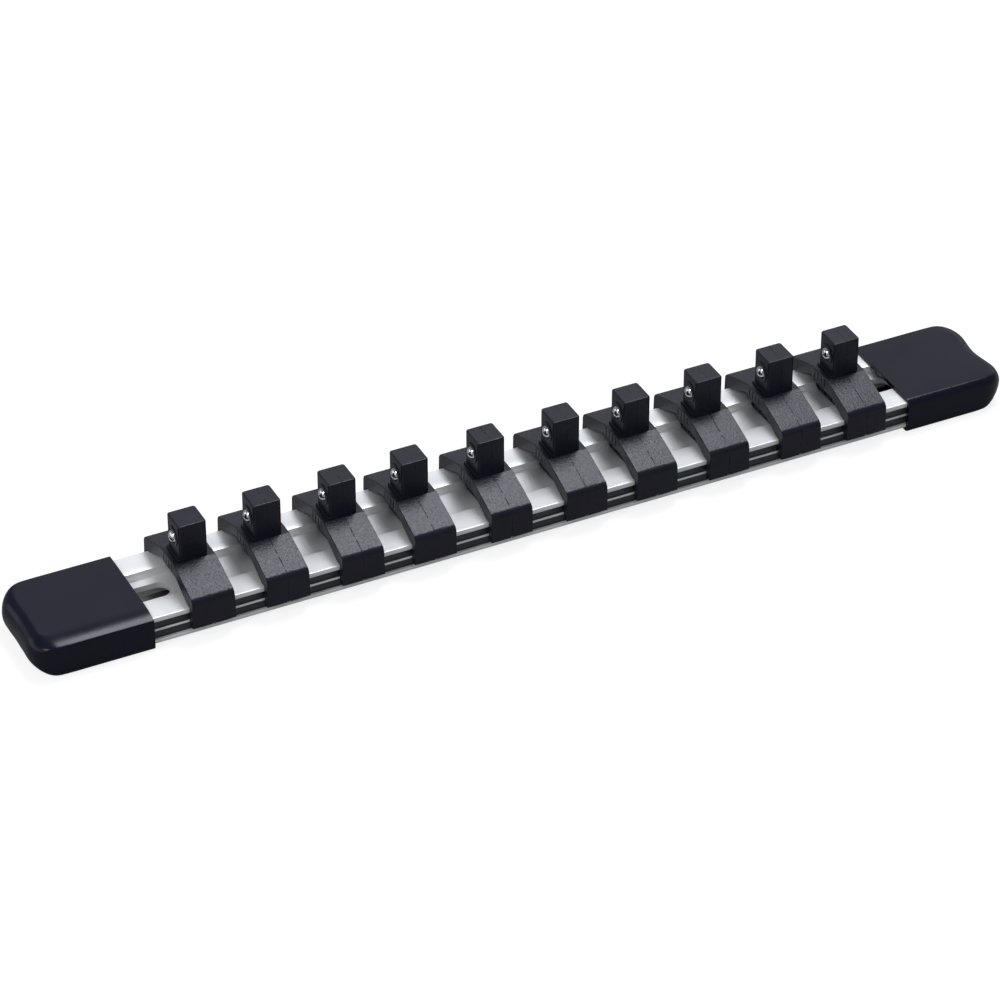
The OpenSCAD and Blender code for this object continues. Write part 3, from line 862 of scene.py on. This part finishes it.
# %% Ten clips
NO_LINE = 9.0  # a distance from the middle at which the line never shows
clip_bm = to_metres(clip)
for number in CLIPS:
    low, high = box_mm(f"clip_{number}")
    middle = (low.x + high.x) / 2
    thing = as_object(clip_bm.copy(), f"clip_{number}_moulding")
    marks = thing.data.attributes.new("from_middle", "FLOAT", "POINT")
    gap = [v.co.x / MM if number != "01" else NO_LINE for v in thing.data.vertices]
    marks.data.foreach_set("value", gap)
    thing.data.transform(Matrix.Translation((middle * MM, 0, 0)))
    smooth = thing.modifiers.new("weighted normals", "WEIGHTED_NORMAL")
    smooth.keep_sharp = True
    finish_piece(thing, acetal, f"clip_{number}", "clips", f"clip_{number}")
clip_bm.free()
print("clips", len(CLIPS))

# %% [markdown]
# ## Balls and springs
# A bearing ball is hardened, ground and polished steel, a near mirror, so a smooth sphere
# with a very low roughness is enough, and the white studio does the rest. Behind it a small
# coil of music wire pushes it out. A coil is a circle swept along a screw, which is what
# spin does when it is given a step along its axis. The real coil flattens as the ball is
# pressed in, but this one is drawn at one length.

# %% Steel and wire
steel, tree, shader = start_material("polished steel", Metallic=1.0, Roughness=0.07)
place = add(tree, "ShaderNodeTexCoord").outputs["Object"]
scuff = add(tree, "ShaderNodeTexNoise", {"Scale": 1 / (0.6 * MM), "Detail": 3.0},
            {"Vector": place}).outputs["Fac"]
ramp = add(tree, "ShaderNodeValToRGB", links={"Fac": scuff})
ramp.color_ramp.elements[0].color = colour("C9CBCD")
ramp.color_ramp.elements[1].color = colour("E2E3E4")
tree.links.new(ramp.outputs["Color"], shader.inputs["Base Color"])
rough = add(tree, "ShaderNodeMapRange", {"To Min": 0.05, "To Max": 0.12},
            {"Value": scuff}).outputs["Result"]
tree.links.new(rough, shader.inputs["Roughness"])
print(steel.name, len(tree.nodes), "nodes")

wire, tree, shader = start_material("music wire", Metallic=1.0, Roughness=0.28)
place = add(tree, "ShaderNodeTexCoord").outputs["Object"]
drawn = add(tree, "ShaderNodeTexNoise", {"Scale": 1 / (0.2 * MM), "Detail": 2.0},
            {"Vector": place}).outputs["Fac"]
ramp = add(tree, "ShaderNodeValToRGB", links={"Fac": drawn})
ramp.color_ramp.elements[0].color = colour("8F9398")
ramp.color_ramp.elements[1].color = colour("B4B8BC")
tree.links.new(ramp.outputs["Color"], shader.inputs["Base Color"])
print(wire.name, len(tree.nodes), "nodes")

# %% Balls
BALL_R = 2.38
for number in CLIPS:
    low, high = box_mm(f"ball_{number}")
    bm = bmesh.new()
    bmesh.ops.create_icosphere(bm, subdivisions=4, radius=BALL_R)
    bmesh.ops.translate(bm, vec=(low + high) / 2, verts=bm.verts)
    thing = as_object(to_metres(bm, 60), f"ball_{number}_steel")
    finish_piece(thing, steel, f"ball_{number}", "balls", f"ball_{number}")
print("balls", len(CLIPS))

# %% Springs
coil_r, wire_r, pitch = 1.675, 0.225, 1.08
for number in CLIPS:
    low, high = box_mm(f"spring_{number}")
    start_x, stop_x = low.x + wire_r, high.x - wire_r
    turns = (stop_x - start_x) / pitch
    bm = bmesh.new()
    section = bmesh.ops.create_circle(bm, segments=10, radius=wire_r)["verts"]
    bmesh.ops.rotate(bm, matrix=Matrix.Rotation(math.pi / 2, 3, "X"), verts=section)
    bmesh.ops.translate(bm, vec=(start_x, 0, ball_z + coil_r), verts=section)
    steps = round(turns * 20)
    bmesh.ops.spin(bm, geom=bm.verts[:] + bm.edges[:], axis=(1, 0, 0), cent=(start_x, 0, ball_z),
                   dvec=((stop_x - start_x) / steps, 0, 0), angle=turns * 2 * math.pi, steps=steps)
    bmesh.ops.holes_fill(bm, edges=bm.edges[:])
    thing = as_object(to_metres(bm, 60), f"spring_{number}_coil")
    finish_piece(thing, wire, f"clip_{number}", "springs", f"spring_{number}")
    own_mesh(thing)
print("springs", len(CLIPS), "of", round(turns, 1), "turns")
